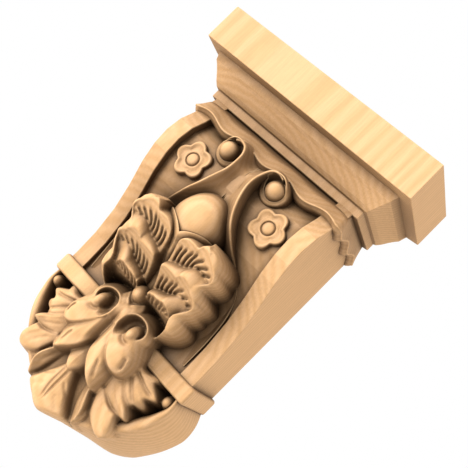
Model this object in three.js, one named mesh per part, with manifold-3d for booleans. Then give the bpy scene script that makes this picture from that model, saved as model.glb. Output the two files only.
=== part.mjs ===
// A carved wooden wall bracket: a moulded cap, a scrolled body with raised borders,
// ribbons, flowers, an acorn and leaves, a strap, and a cup of acanthus leaves below.
// It is carved from one block, so it is one solid. Sizes are in millimetres, +Z is up,
// and the origin is in the middle of the flat back, which hangs against a wall.
import * as THREE from "three";
import { mergeVertices } from "three/addons/utils/BufferGeometryUtils.js";
import Module from "manifold-3d";

// Driving sizes of the cap
const capWidth = 200;
const capReach = 90.7;
const abacusHeight = 31;
const abacusLip = 10.3;
const mouldingHeight = 21.3;
const filletHeight = 6.4;
const filletReach = 4.8;

// Driving sizes of the skirt, the cloth-like edge that hangs under the cap
const skirtHeight = 14.5;
const skirtFlare = 4.8;
const skirtFrontFlare = 10;
const skirtThickness = 3.5;
const skirtWave = 2.2;
const skirtWaveLength = 40;

// Driving sizes of the body, the strap and the cup below it
const bodyWidth = 141;
const bodyReach = 84.6;
const bodyDrop = 254.3;
const borderWidth = 13.2;
const panelDepth = 7;
const strapHeight = 14;
const strapProud = 4;
const strapRounding = 2.2;
const strapOver = 2;
const cupDepth = 12;
const cupRim = 3;

// How far one form is sunk into the next, so that they join
const overlap = 1;

// The carving is drawn on a grid this wide, this far out from the wall and this far
// down, counted from the top of the cap, and takes its size from the body's own.
const grid = { half: 70.5, reach: 84.6, top: 58.7, bottom: 313 };
const across = bodyWidth / 2 / grid.half;
const outward = bodyReach / grid.reach;
const down = bodyDrop / (grid.bottom - grid.top);
const bodyTop = abacusHeight + mouldingHeight + filletHeight;
const backCentre = (bodyTop + bodyDrop) / 2;

const wasm = await Module();
wasm.setup();

// x to the right, out from the wall, drop below the top of the cap
const place = (x, out, drop) => new THREE.Vector3(x, -out, backCentre - drop);

// The same for a point of the carving's grid
const deep = (drop) => bodyTop + (drop - grid.top) * down;
const carve = (x, out, drop) => place(x * across, out * outward, deep(drop));

// A smooth curve through rows of three numbers
const through = (rows, closed = false) =>
  new THREE.CatmullRomCurve3(rows.map((row) => new THREE.Vector3(...row)), closed, "catmullrom", 0.5);

// A solid from points and faces, turned so that its faces point out
function solid(points, faces) {
  const volume = faces.reduce((sum, [a, b, c]) =>
    sum + points[a].dot(new THREE.Vector3().crossVectors(points[b], points[c])), 0);
  const turned = volume < 0 ? faces.map(([a, b, c]) => [a, c, b]) : faces;
  return new wasm.Manifold(new wasm.Mesh({
    numProp: 3,
    vertProperties: new Float32Array(points.flatMap((p) => [p.x, p.y, p.z])),
    triVerts: new Uint32Array(turned.flat()),
  }));
}

// A closed body over rings of points. A ring of one point closes an end to a tip.
function loft(rings) {
  const points = rings.flat();
  const starts = [];
  rings.reduce((start, ring) => {
    starts.push(start);
    return start + ring.length;
  }, 0);
  const faces = [];
  for (let i = 0; i + 1 < rings.length; i++) {
    const [here, next] = [rings[i].length, rings[i + 1].length];
    const count = Math.max(here, next);
    for (let j = 0; j < count; j++) {
      const k = (j + 1) % count;
      const [a, b] = here === 1 ? [starts[i], starts[i]] : [starts[i] + j, starts[i] + k];
      const [c, d] = next === 1 ? [starts[i + 1], starts[i + 1]] : [starts[i + 1] + j, starts[i + 1] + k];
      if (a !== b) faces.push([a, b, d]);
      if (c !== d) faces.push([a, d, c]);
    }
  }
  for (const index of [0, rings.length - 1]) {
    const ring = rings[index];
    if (ring.length === 1) continue;
    const middle = ring.reduce((sum, p) => sum.add(p), new THREE.Vector3()).divideScalar(ring.length);
    const centre = points.push(middle) - 1;
    ring.forEach((_, j) => {
      const [a, b] = [starts[index] + j, starts[index] + ((j + 1) % ring.length)];
      faces.push(index === 0 ? [centre, b, a] : [centre, a, b]);
    });
  }
  return solid(points, faces);
}

// The same carving on the right and, mirrored, on the left
const pair = (rings) => [
  loft(rings),
  loft(rings.map((ring) => ring.map((p) => new THREE.Vector3(-p.x, p.y, p.z)))),
];

// A side view of [out, drop] points, extruded from one x to another
function slab(outline, fromX, toX) {
  const shape = new THREE.Shape(outline.map(([out, drop]) => new THREE.Vector2(out, drop)));
  const geometry = new THREE.ExtrudeGeometry(shape, { depth: toX - fromX, bevelEnabled: false });
  const basis = new THREE.Matrix4().makeBasis(
    new THREE.Vector3(0, -1, 0), new THREE.Vector3(0, 0, -1), new THREE.Vector3(1, 0, 0));
  geometry.applyMatrix4(basis.setPosition(fromX, 0, backCentre));
  geometry.deleteAttribute("normal");
  geometry.deleteAttribute("uv");
  const merged = mergeVertices(geometry, 1e-4);
  return new wasm.Manifold(new wasm.Mesh({
    numProp: 3,
    vertProperties: new Float32Array(merged.attributes.position.array),
    triVerts: new Uint32Array(merged.index.array),
  }));
}

// How far the border's face stands out from the wall, as [out, drop] on the grid
const frontRows = [
  [66, 58], [74.9, 78.5], [81.8, 89.6], [84.6, 102], [83.1, 115.4], [77.3, 130.7],
  [66.4, 149.7], [57.1, 170.1], [51.5, 192.9], [50.2, 211.6], [50.2, 234],
];
const frontFacets = through(frontRows.map(([out, drop]) => [out, drop, 0])).getPoints(30);

// The cap: a square-edged abacus over a rounded moulding and a fillet
function cap() {
  const half = capWidth / 2;
  const inset = half - bodyWidth / 2 - filletReach;
  const rounding = [[0, 0.05], [0.13, 0.33], [0.27, 0.43], [0.46, 0.6], [0.69, 0.83], [0.86, 0.96], [1, 1]];
  const steps = [[0, 0], [0, abacusHeight]];
  for (const [share, fall] of rounding) {
    steps.push([abacusLip + (inset - abacusLip) * share, abacusHeight + mouldingHeight * fall]);
  }
  steps.push([inset, bodyTop], [inset + filletReach, bodyTop + overlap]);
  steps.push([inset + filletReach, bodyTop + skirtHeight]);
  return loft(steps.map(([into, drop]) => [
    place(-half + into, 0, drop), place(half - into, 0, drop),
    place(half - into, capReach - into, drop), place(-half + into, capReach - into, drop),
  ]));
}

// The skirt: flared, with a waved lower edge, round the front and both flanks
function skirt() {
  const half = bodyWidth / 2;
  const front = frontRows[0][0] * outward;
  const sunk = skirtThickness * 3;
  const perSide = 10;
  const perFront = 30;
  const stations = [];
  for (let i = 0; i < perSide; i++) stations.push([-half, (front * i) / perSide, -1, 0]);
  for (let i = 0; i <= perFront; i++) {
    const side = i === 0 ? -1 : i === perFront ? 1 : 0;
    stations.push([-half + (bodyWidth * i) / perFront, front, side, 1]);
  }
  for (let i = perSide - 1; i >= 0; i--) stations.push([half, (front * i) / perSide, 1, 0]);
  return loft(stations.map(([x, out, side, forward]) => {
    const run = forward ? x : half + front - out;
    const edge = bodyTop + skirtHeight + skirtWave * Math.cos((2 * Math.PI * run) / skirtWaveLength);
    const at = (share, inward, drop) => place(
      x + side * (skirtFlare * share - inward), out + forward * (skirtFrontFlare * share - inward), drop);
    return [
      at(0, sunk, bodyTop + overlap), at(0, 0, bodyTop + overlap), at(0.4, 0, bodyTop + skirtHeight * 0.5),
      at(1, 0, edge), at(1, skirtThickness / 2, edge + skirtThickness),
      at(0, sunk, edge + skirtThickness + overlap),
    ];
  }));
}

// The body: a sunk panel between two raised borders, all on the same curve.
// The panel is sunk most at the shoulder and least at the strap.
function body() {
  const half = bodyWidth / 2;
  const [first, last] = [frontRows[0][1], frontRows.at(-1)[1]];
  const outline = (sink) => [
    [0, deep(first)],
    ...frontFacets.map((p) => [
      p.x * outward - sink * THREE.MathUtils.mapLinear(p.y, first, last, 1, 0.45), deep(p.y)]),
    [0, deep(last)],
  ];
  return [
    slab(outline(panelDepth), -half + borderWidth - overlap, half - borderWidth + overlap),
    slab(outline(0), half - borderWidth, half),
    slab(outline(0), -half, -half + borderWidth),
  ];
}

// The strap, with rounded edges, round the front and both flanks below the panel
const strapDrop = 218;
const strapOut = 50.2;
function strap() {
  const half = bodyWidth / 2 + strapProud;
  const out = strapOut * outward + strapOver;
  const middle = deep(strapDrop) + strapHeight / 2;
  const r = strapRounding;
  const levels = [
    [-strapHeight / 2, r], [-strapHeight / 2 + r * 0.3, r * 0.3], [-strapHeight / 2 + r, 0],
    [strapHeight / 2 - r, 0], [strapHeight / 2 - r * 0.3, r * 0.3], [strapHeight / 2, r],
  ];
  return loft(levels.map(([rise, into]) => [
    place(-half + into, 0, middle + rise), place(half - into, 0, middle + rise),
    place(half - into, out - into, middle + rise), place(-half + into, out - into, middle + rise),
  ]));
}

// The cup under the strap: its outline on the wall, its rim in front, and the hollow
// inside the rim from which the leaves grow. Rows are [x, drop] for the right half.
function cup() {
  const wall = [[70, 226], [76.5, 240], [78.1, 252], [76, 261], [71.2, 272], [64.7, 282.5],
    [58, 291], [47, 298.5], [30, 303], [15, 307.5], [0, 312.5]];
  const rim = [[70, 226], [71.7, 240], [70, 250], [67, 260], [62, 268.5], [55, 276.5],
    [46, 284], [36, 291], [24, 297], [12, 302], [0, 305]];
  const whole = (half) => [...half, ...half.slice(0, -1).reverse().map(([x, drop]) => [-x, drop])];
  const ring = (rows, out, into = 0) => whole(rows).map(([x, drop]) => {
    const share = 1 - into / 70;
    return carve(x * share, out, 226 + (drop - 226) * share);
  });
  const rimOut = 50;
  return loft([
    ring(wall, 0), ring(wall, 8), ring(rim, rimOut - 1.5), ring(rim, rimOut, cupRim * 0.5),
    ring(rim, rimOut - 1, cupRim), ring(rim, rimOut - cupDepth, cupRim + 3),
  ]);
}

// A ribbon standing on edge. It curls round a bead under the skirt, runs down beside
// the web and the acorn, and fades along the border. Rows are [x, out, drop] of its rim
// and [width, floor] of the hollow slope on its inner side.
function ribbon() {
  const rim = [
    [20.5, 79, 91.5], [27, 81, 90], [30, 83, 84.5], [29, 84.8, 78.6], [25, 85.8, 74.8],
    [19, 86, 73.2], [13.7, 86, 75.4], [11, 86.6, 80.5], [9.7, 89.1, 88], [10.2, 90.4, 96],
    [13.4, 91.5, 105.8], [17.7, 90.6, 115.7], [22.9, 87.6, 123.9], [30.5, 79, 132.9],
    [38.1, 69.5, 139.9], [47, 62.5, 148.3], [52.2, 58.8, 156.7], [55, 55.5, 168.3],
    [55.6, 52.5, 180], [55.2, 50.2, 195], [54.4, 48.2, 213],
  ];
  const slope = [
    [3, 73], [3, 73], [3, 73], [3, 73], [4, 72], [7, 71], [11, 72], [12, 76], [11, 81],
    [11.5, 82], [14.6, 81], [15, 76], [14, 73], [12, 66], [12, 59], [12, 55], [12, 52], [11, 50],
    [10, 48], [9, 47], [8, 46],
  ];
  const steps = 36;
  const rimCurve = through(rim);
  const slopeCurve = through(slope.map(([width, floor]) => [width, floor, 0]));
  const rings = [];
  for (let i = 0; i <= steps; i++) {
    const at = rimCurve.getPoint(i / steps);
    const { x: width, y: floor } = slopeCurve.getPoint(i / steps);
    const run = rimCurve.getTangent(i / steps);
    const side = new THREE.Vector2(-run.z, run.x).normalize();
    const point = (offset, out) => carve(at.x + side.x * offset, out, at.z + side.y * offset);
    const base = Math.min(floor, at.y) - 16;
    const hollow = [0.25, 0.55, 1].map((t) =>
      point(0.8 + (width - 0.8) * t, floor + (at.y - floor) * (1 - t) ** 2.2));
    rings.push([
      point(-1.4, base), point(-0.6, at.y - 0.3), point(0.8, at.y - 0.3), ...hollow,
      point(width, base),
    ]);
  }
  return rings;
}

// A round boss: levels are [radius, out] from the middle of its face to its back
function boss([x, drop], levels, corners, radiusAt = () => 1) {
  return levels.map(([radius, out]) => {
    if (radius === 0) return [carve(x, out, drop)];
    return Array.from({ length: corners }, (_, i) => {
      const angle = (2 * Math.PI * i) / corners;
      const reach = radius * radiusAt(angle, radius);
      return carve(x + reach * Math.cos(angle), out, drop - reach * Math.sin(angle));
    });
  });
}

// The bead in the eye of a ribbon's curl
const curlBead = () => boss([23.2, 83], [[0, 86.2], [3.2, 85], [4.9, 81.5], [4.9, 70]], 8);

// A flower of five petals round a small disc, with a petal pointing at the border
function flower() {
  const petals = 5;
  const lobe = (angle, radius) => 1 + (radius > 6 ? 0.13 * Math.cos(petals * angle) : 0);
  const levels = [[0, 80.8], [4, 80.8], [4.8, 79.4], [9.5, 79.8], [11.6, 81], [13.2, 80], [13.8, 68]];
  return boss([39.7, 105.8], levels, petals * 5, lobe);
}

// The acorn: an egg on an axis that leans with the body, its tip up
function acorn() {
  const [tip, root] = [[82, 112.5], [64, 156]];
  const profile = [[0, 0], [9, 0.03], [15, 0.11], [19.5, 0.24], [22.5, 0.42], [22.8, 0.58], [20.5, 0.78], [16, 1]];
  const corners = 16;
  const tilt = Math.atan2(tip[0] - root[0], root[1] - tip[1]);
  return loft(profile.map(([radius, t]) => {
    const [out, drop] = [0, 1].map((i) => tip[i] + (root[i] - tip[i]) * t);
    if (radius === 0) return [carve(0, out, drop)];
    return Array.from({ length: corners }, (_, i) => {
      const angle = (2 * Math.PI * i) / corners;
      const forward = radius * Math.cos(angle);
      return carve(radius * Math.sin(angle), out + forward * Math.cos(tilt), drop + forward * Math.sin(tilt));
    });
  }));
}

// The acorn's calyx: a collar whose rim dips to a cusp in the middle of the front
function calyx() {
  const corners = 20;
  const ring = (radius, lower, scallop) => Array.from({ length: corners }, (_, i) => {
    const angle = (2 * Math.PI * i) / corners - Math.PI;
    const rise = scallop * Math.sin(Math.min(Math.abs(angle), Math.PI / 2) * 1.6) ** 0.8;
    const out = 67 + radius * Math.cos(angle);
    return carve(radius * Math.sin(angle), out, lower - rise + Math.cos(angle) * 3);
  });
  return loft([ring(16, 146, 7.5), ring(23, 146.5, 7.5), ring(23.8, 148, 7.5), ring(20, 155, 4),
    ring(10, 168, 0), ring(5, 192, 0)]);
}

// One tier of the leaves beside the acorn: a rolled crest over a fluted face, which slopes
// back to the line where the tier below comes out. Rows are [x, rise, lift] from the notch
// in the crest. The back part of the wall swells by bulge: at the side, then at the top.
function leafTier({ out, drop, base, bulge, turn }) {
  const crest = [
    [4, -20, -12], [3.5, -11, -5], [5.5, -2.5, -1.5], [12.5, 0.2, -1], [20.3, -0.4, 0],
    [27.2, 4, 1.5], [35, 0.5, -2.5], [42, -8, -8], [38, -14, -13], [21, -20, -15],
  ];
  const root = { from: [9, -18, -12], to: [31, -12, -9] };
  const corners = 33;
  const fluted = [3, 22];
  const flutePitch = 2;
  const set = ([x, rise, lift]) => new THREE.Vector3(x, out + lift * turn, drop - rise);
  const outline = through(crest.map((row) => set(row).toArray()), true);
  const [from, to] = [set(root.from), set(root.to)];
  const points = Array.from({ length: corners }, (_, i) => outline.getPoint(i / corners));
  const roots = points.map((p) =>
    from.clone().lerp(to, THREE.MathUtils.clamp((p.x - crest[1][0]) / (crest[7][0] - crest[1][0]), 0, 1)));
  const face = (share, flute) => points.map((p, i) => {
    const cut = i >= fluted[0] && i <= fluted[1] && i % flutePitch === 0 ? flute : 0;
    const { x, y, z } = roots[i].clone().lerp(p, share);
    return carve(x, y - cut, z);
  });
  const wall = (back, swell) => points.map((p, i) => {
    const away = new THREE.Vector2(p.x - roots[i].x, p.z - roots[i].z).normalize();
    const grow = swell * (bulge[0] + (bulge[1] - bulge[0]) * Math.max(0, -away.y));
    return carve(p.x + away.x * grow, Math.max(base, p.y - back), p.z + away.y * grow);
  });
  return [
    face(0.1, 0), face(0.4, 1.8), face(0.85, 1.1), face(1, 0),
    wall(0.8, 0.5), wall(4, 0.95), wall(16, 1), wall(out, 0.6),
  ];
}

const tiers = [
  { out: 95.8, drop: 148.4, base: 50, bulge: [3, 1.5], turn: 1 },
  { out: 86.2, drop: 172.7, base: 42, bulge: [4, 10], turn: 1.05 },
  { out: 74, drop: 195, base: 36, bulge: [4, 10], turn: 1.3 },
];

// The pearl under the acorn's stem
const pearl = () => loft(boss([0, 201.5], [[0, 71], [3.2, 69.8], [5.2, 66.5], [5.8, 62], [5.8, 48]], 10,
  (angle) => 1 + 0.35 * Math.sin(angle) ** 2));

// A leaf along a spine. Rows are [x, out, drop] of the spine with [half width] and the
// leaf's back lies at one depth. crown raises its middle and crease cuts its midrib.
function leaf({ spine, widths, base, crown = 1.5, crease = 0.8, steps = 8 }) {
  const line = through(spine);
  const size = through(widths.map((width) => [width, 0, 0]));
  const cuts = [-1, -0.5, 0, 0.5, 1];
  const rings = [];
  for (let i = 0; i <= steps; i++) {
    const at = line.getPoint(i / steps);
    const width = size.getPoint(i / steps).x;
    const run = line.getTangent(i / steps);
    const side = new THREE.Vector2(-run.z, run.x).normalize();
    const point = (j, out) => carve(at.x + side.x * width * j, out, at.z + side.y * width * j);
    const top = cuts.map((j) => point(j, at.y + crown * (1 - j * j) - (j === 0 ? crease : 0)));
    rings.push([point(-1, base), ...top, point(1, base)]);
  }
  return rings;
}

// The stem between the two rows of leaves, from the acorn down to the pearl
const stem = {
  spine: [[0, 82, 148], [0, 76, 160], [0, 68, 178], [0, 61, 196], [0, 58, 208]],
  widths: [6, 3.6, 3, 3, 3], base: 30, crown: 1, crease: 0,
};

// The front acanthus: a middle lobe, and on each side two lobes and a volute with a ball
const middleLobe = {
  spine: [[0, 61, 206], [0, 62.5, 222], [0, 62, 238], [0, 64, 254], [0, 65.5, 265], [0, 63, 274]],
  widths: [4, 4.5, 5, 7, 8.5, 3], base: 34, crown: 1, crease: 1,
};
const frontLobes = [
  { spine: [[4.3, 64, 207], [5.2, 68.5, 220], [5.5, 69, 234], [8.5, 70, 247], [15, 67, 259], [26.5, 57.5, 270]],
    widths: [3.5, 3.5, 5, 7.5, 8.5, 1.2], base: 34, crown: 1.5, crease: 0 },
  { spine: [[13, 66, 226], [19, 70.5, 234], [26, 70.5, 241], [32, 64.5, 247]],
    widths: [5, 9, 10.5, 5], base: 34, crown: 1, crease: 0.6 },
];
function volute() {
  const spiral = (angle, radius) => 1 + (radius > 5 ? 0.1 * Math.sin(angle + 0.6) : 0);
  return boss([17.2, 220.5], [[0, 71], [3, 70], [4.6, 66], [4.9, 60], [6.2, 60.5], [7.6, 64.5], [8.6, 66.4],
    [9.8, 65.2], [11.5, 58], [13.5, 34]], 16, spiral);
}

// The leaves that grow out of the cup behind the front acanthus
const cupLeaves = [
  { spine: [[14, 57, 262], [21, 57.5, 275], [25, 56, 287], [25.4, 52.5, 298]], widths: [3, 4.8, 4.8, 1] },
  { spine: [[20, 58, 254], [31, 58, 265], [40, 57, 275], [48.5, 54, 286]], widths: [7, 10, 10.8, 5.5] },
  { spine: [[28, 58, 246], [38, 58, 255], [46, 57.5, 262], [52.5, 56, 267]], widths: [4, 5, 4.2, 0.8] },
  { spine: [[32, 57, 242], [42, 55, 248], [50, 52, 252], [57, 48.5, 254.5]], widths: [4, 6, 4.8, 1] },
  { spine: [[34, 57, 237], [45, 55, 240], [53, 53, 242], [59.5, 51, 243]], widths: [4, 5, 3.6, 0.8] },
  { spine: [[33, 56, 237], [41, 54, 234.5], [46, 52, 232.5], [49.5, 50, 230.8]], widths: [4, 4.5, 3, 0.8] },
];
const bottomLeaf = {
  spine: [[0, 58, 256], [0, 62, 272], [0, 62, 286], [0, 58, 299], [0, 50, 311]],
  widths: [5, 8, 15.5, 19.5, 12], base: 20, crown: 2, crease: 1.2,
};
const cupBall = () => boss([64.6, 238], [[0, 51], [3, 49.8], [4.4, 46.5], [4.4, 36]], 8);

// Everything joined into the one block that it is carved from
const pieces = [
  cap(), skirt(), ...body(), strap(), cup(), ...pair(ribbon()), ...pair(curlBead()), ...pair(flower()),
  acorn(), calyx(), ...tiers.flatMap((tier) => pair(leafTier(tier))), pearl(),
  loft(leaf(stem)), loft(leaf(middleLobe)), ...frontLobes.flatMap((lobe) => pair(leaf(lobe))), ...pair(volute()),
  ...cupLeaves.flatMap((row) => pair(leaf({ base: 30, steps: 5, ...row }))), loft(leaf(bottomLeaf)),
  ...pair(cupBall()),
];
const joined = pieces.reduce((whole, piece) => whole.add(piece)).getMesh();
const geometry = new THREE.BufferGeometry();
geometry.setAttribute("position", new THREE.BufferAttribute(joined.vertProperties, 3));
geometry.setIndex(new THREE.BufferAttribute(joined.triVerts, 1));
geometry.computeVertexNormals();

const wood = new THREE.MeshStandardMaterial({ color: 0xdcae80, roughness: 0.55, metalness: 0 });
const bracket = new THREE.Mesh(geometry, wood);
bracket.name = "carved_bracket";

const group = new THREE.Group();
group.add(bracket);
export default group;
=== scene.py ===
"""A carved wooden wall bracket, dressed round its measured frame.

The cap, the bordered body, the strap, the cup, the ribbons and the acorn are lofted as closed
forms, and the leaves, the acanthus and its volutes are drawn as one relief. All of it is joined
into the one block that it is carved from, and finished as oiled limewood with shade painted
dark into the hollows and creases.
"""

import math

import bmesh
import bpy
import numpy as np
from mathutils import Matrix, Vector


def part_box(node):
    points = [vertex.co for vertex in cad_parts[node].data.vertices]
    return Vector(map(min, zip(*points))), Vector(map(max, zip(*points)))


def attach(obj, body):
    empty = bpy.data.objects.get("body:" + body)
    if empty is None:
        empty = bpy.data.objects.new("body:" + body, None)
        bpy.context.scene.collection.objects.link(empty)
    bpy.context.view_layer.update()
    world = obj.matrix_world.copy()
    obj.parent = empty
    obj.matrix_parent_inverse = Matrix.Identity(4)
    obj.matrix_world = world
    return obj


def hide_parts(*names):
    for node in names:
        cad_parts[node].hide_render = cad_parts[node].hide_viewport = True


bl_info = {
    "name": "Carved Bracket",
    "version": (1, 0, 0),
    "blender": (4, 5, 0),
    "location": "3D View > Sidebar > Bracket",
    "description": "Builds a carved wooden wall bracket with its finish and studio",
    "category": "Add Mesh",
}

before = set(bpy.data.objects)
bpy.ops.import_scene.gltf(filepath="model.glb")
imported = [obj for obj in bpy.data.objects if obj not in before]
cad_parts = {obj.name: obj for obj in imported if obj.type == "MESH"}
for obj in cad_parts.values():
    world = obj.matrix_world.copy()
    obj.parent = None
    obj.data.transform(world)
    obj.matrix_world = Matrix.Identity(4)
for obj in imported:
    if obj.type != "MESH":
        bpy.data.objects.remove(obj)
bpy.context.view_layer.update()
NODE = "carved_bracket"
LOW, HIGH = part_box(NODE)

# The bracket is drawn at 200 mm across its cap, and takes its true size from the frame
DRAWN_WIDTH = 200.0
MM = (HIGH.x - LOW.x) / DRAWN_WIDTH

# Half widths, reaches out from the wall and drops below the cap's top, all in drawn mm
CAP_HALF = DRAWN_WIDTH / 2
CAP_REACH = 90.7
BODY_HALF = 70.5
BODY_TOP = 58.7
BORDER_INNER = 57.3
STRAP_TOP = 218.0
# The face of the block, where it stands out furthest for the leaves
LEAF_REACH = 97.1
# How far the cap, the skirt and the body run into each other
LAP = 0.6
# The acorn's axis, as (out, drop) at its tip and at its root
ACORN_TIP, ACORN_ROOT = np.array([82.0, 112.0]), np.array([64.0, 156.0])

# How far the border's face stands out from the wall, as (out, drop)
FRONT_ROWS = [
    (66, 58), (74.9, 78.5), (81.8, 89.6), (84.6, 102), (83.1, 115.4), (77.3, 130.7),
    (66.4, 149.7), (57.1, 170.1), (51.5, 192.9), (50.2, 211.6), (50.2, 230),
]

WORKSHOP = "Workshop"
solids = []


def smooth_step(low, high, value):
    """A soft 0 to 1 ramp between two values."""
    t = np.clip((np.asarray(value, float) - low) / (high - low), 0, 1)
    return t * t * (3 - 2 * t)


def bump(value, centre, width):
    """A soft bell of height one."""
    return np.exp(-(((np.asarray(value, float) - centre) / width) ** 2))


def curve(rows, stations):
    """A smooth curve through rows of numbers, read at stations from 0 to 1."""
    rows = np.asarray(rows, float)
    if rows.ndim == 1:
        rows = rows[:, None]
    stations = np.atleast_1d(np.asarray(stations, float))
    ends = np.vstack([2 * rows[0] - rows[1], rows, 2 * rows[-1] - rows[-2]])
    place = np.clip(stations, 0, 1) * (len(rows) - 1)
    index = np.minimum(place.astype(int), len(rows) - 2)
    t = (place - index)[:, None]
    a, b, c, d = (ends[index + k] for k in range(4))
    return 0.5 * (2 * b + (c - a) * t + (2 * a - 5 * b + 4 * c - d) * t**2 + (3 * b - a - 3 * c + d) * t**3)


def run_of(rows, stations):
    """The curve's direction at each station."""
    step = 1e-3
    ahead = curve(rows, np.clip(stations + step, 0, 1)) - curve(rows, np.clip(stations - step, 0, 1))
    return ahead / np.maximum(np.linalg.norm(ahead, axis=1, keepdims=True), 1e-9)


def across_of(rows, stations):
    """The direction square to the curve as seen from the front, in x and drop."""
    run = run_of(rows, stations)
    side = np.stack([-run[:, 2], run[:, 0]], 1)
    return side / np.maximum(np.linalg.norm(side, axis=1, keepdims=True), 1e-9)


def solid(name, rings, soft=True):
    """A closed body lofted over rings of (x, out, drop) points, with its ends filled."""
    rings = np.asarray(rings, float)
    count, size = rings.shape[:2]
    points = np.stack([rings[..., 0] * MM, -rings[..., 1] * MM, HIGH.z - rings[..., 2] * MM], -1)
    centres = [points[0].mean(0), points[-1].mean(0)]
    vertices = np.vstack([points.reshape(-1, 3), centres])
    first, last = count * size, count * size + 1
    i, j = np.meshgrid(np.arange(count - 1), np.arange(size), indexing="ij")
    here, ahead = i * size, (i + 1) * size
    k = (j + 1) % size
    quads = np.stack([here + j, here + k, ahead + k, ahead + j], -1).reshape(-1, 4)
    edge = np.arange(size)
    nearest = np.stack([np.full(size, first), (edge + 1) % size, edge], 1)
    start = (count - 1) * size
    furthest = np.stack([np.full(size, last), start + edge, start + (edge + 1) % size], 1)
    triangles = np.vstack([quads[:, [0, 1, 2]], quads[:, [0, 2, 3]], nearest, furthest])
    a, b, c = (vertices[triangles[:, n]] for n in range(3))
    turned = np.einsum("ij,ij->i", a, np.cross(b, c)).sum() < 0
    faces = [list(f) for f in (quads[:, ::-1] if turned else quads)]
    faces += [list(f) for f in np.vstack([nearest, furthest])[:, :: -1 if turned else 1]]
    mesh = bpy.data.meshes.new(name)
    mesh.from_pydata(vertices.tolist(), [], [[int(v) for v in f] for f in faces])
    mesh.polygons.foreach_set("use_smooth", [soft] * len(mesh.polygons))
    made = bpy.data.objects.new(name, mesh)
    bpy.data.collections[WORKSHOP].objects.link(made)
    solids.append(made)
    return made


def pair(name, rings, soft=True):
    """The same carving on the right and, mirrored, on the left."""
    rings = np.asarray(rings, float)
    solid(name + "_right", rings, soft)
    solid(name + "_left", rings * (-1, 1, 1), soft)


def plan_rings(levels, corner=0.5, arc=1):
    """Rings of a block against the wall, from levels of (half width, reach, drop)."""
    turns = np.linspace(0, math.pi / 2, arc + 1)
    rings = []
    for half, reach, drop in levels:
        right = [(half - corner + corner * math.cos(a), reach - corner + corner * math.sin(a)) for a in turns]
        outline = [(half, 0)] + right + [(-x, out) for x, out in reversed(right)] + [(-half, 0)]
        rings.append([(x, out, drop) for x, out in outline])
    return rings


def carve_cap(sizes):
    """The cap: a square-edged abacus over a rounded moulding and a fillet."""
    lip, moulding, fillet, root = 10.3, 21.3, 6.4, 14
    under = BODY_TOP - moulding - fillet
    inset = CAP_HALF - BODY_HALF - sizes.fillet_reach
    edge = sizes.edge_round
    rounding = [(0, 0.05), (0.13, 0.33), (0.27, 0.43), (0.46, 0.6), (0.69, 0.83), (0.86, 0.96), (1, 1)]
    steps = [(edge, 0), (0, edge), (0, under - edge), (edge, under)]
    steps += [(lip + (inset - lip) * share, under + moulding * fall) for share, fall in rounding]
    steps += [(inset, BODY_TOP - edge), (inset + edge, BODY_TOP)]
    steps += [(inset + sizes.fillet_reach, BODY_TOP + LAP), (inset + sizes.fillet_reach, BODY_TOP + root)]
    solid("cap", plan_rings([(CAP_HALF - into, CAP_REACH - into, drop) for into, drop in steps]), soft=False)


def carve_skirt(sizes):
    """The skirt under the cap: flared like cloth, with a waved lower edge."""
    front, corner, sunk = 66.7, 2.5, 9
    height, wave, length = 14.0, sizes.skirt_wave, sizes.skirt_wave_length
    flare_side, flare_front, thick = 4.8, 10.0, 3.8
    # The waves are a little closer together on the flanks
    flank_pace = 1.3
    # In front the skirt's top is drawn in under the fillet
    tuck, tucked_share = 6.5, 0.42
    flank = [(-BODY_HALF, out, -1, 0) for out in np.linspace(0, front - corner, 56)]
    turns = np.linspace(0, math.pi / 2, 9)[1:-1]
    bend = [(-BODY_HALF + corner * (1 - math.cos(a)), front - corner * (1 - math.sin(a)),
             -math.cos(a), math.sin(a)) for a in turns]
    face = [(x, front, 0, 1) for x in np.linspace(-BODY_HALF + corner, BODY_HALF - corner, 200)]
    half = flank + bend
    stations = half + face + [(-x, out, -side, forward) for x, out, side, forward in reversed(half)]
    profile = curve([(0, 0), (0.2, 0.26), (0.44, 0.52), (0.72, 0.78), (1, 0.985)], np.linspace(0, 1, 17))
    rings = []
    for x, out, side, forward in stations:
        run = x if forward > 0.99 else BODY_HALF + (front - out) * flank_pace
        edge = BODY_TOP + height + wave * math.cos(2 * math.pi * run / length)
        flare = flare_side * abs(side) + flare_front * forward**2
        start, fall = BODY_TOP - LAP, edge - BODY_TOP + LAP

        def at(share, inward, drop):
            reach = flare * share - inward
            return (x + side * reach, out + forward * reach, drop)

        ring = [at(0, sunk, start)]
        for share, part in profile:
            drawn_in = tuck * forward**2 * max(1 - part / tucked_share, 0) ** 1.6
            ring.append(at(share, drawn_in, start + fall * part))
        ring += [at(1.02, 0.3, edge + 0.5), at(1, 1, edge + 0.9), at(1, 2, edge + thick * 0.6)]
        ring += [at(1, 4, edge + thick), at(0, sunk, edge + thick + 1)]
        rings.append(ring)
    solid("skirt", rings)


def carve_body(sizes):
    """The body: a sunk panel between two raised borders, in flat tool cuts."""
    rows = np.array(FRONT_ROWS, float)
    edge, low_share, draught = sizes.edge_round, 0.45, 0.3
    rings = []
    for out, drop in rows:
        sink = sizes.panel_depth * np.interp(drop, (rows[0, 1], rows[-1, 1]), (1, low_share))
        half = [(BODY_HALF, 0), (BODY_HALF, out - edge), (BODY_HALF - edge, out), (BORDER_INNER + edge, out),
                (BORDER_INNER, out - edge), (BORDER_INNER - draught, out - sink)]
        rings.append([(x, o, drop) for x, o in half] + [(-x, o, drop) for x, o in reversed(half)])
    solid("body", rings, soft=False)


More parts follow.
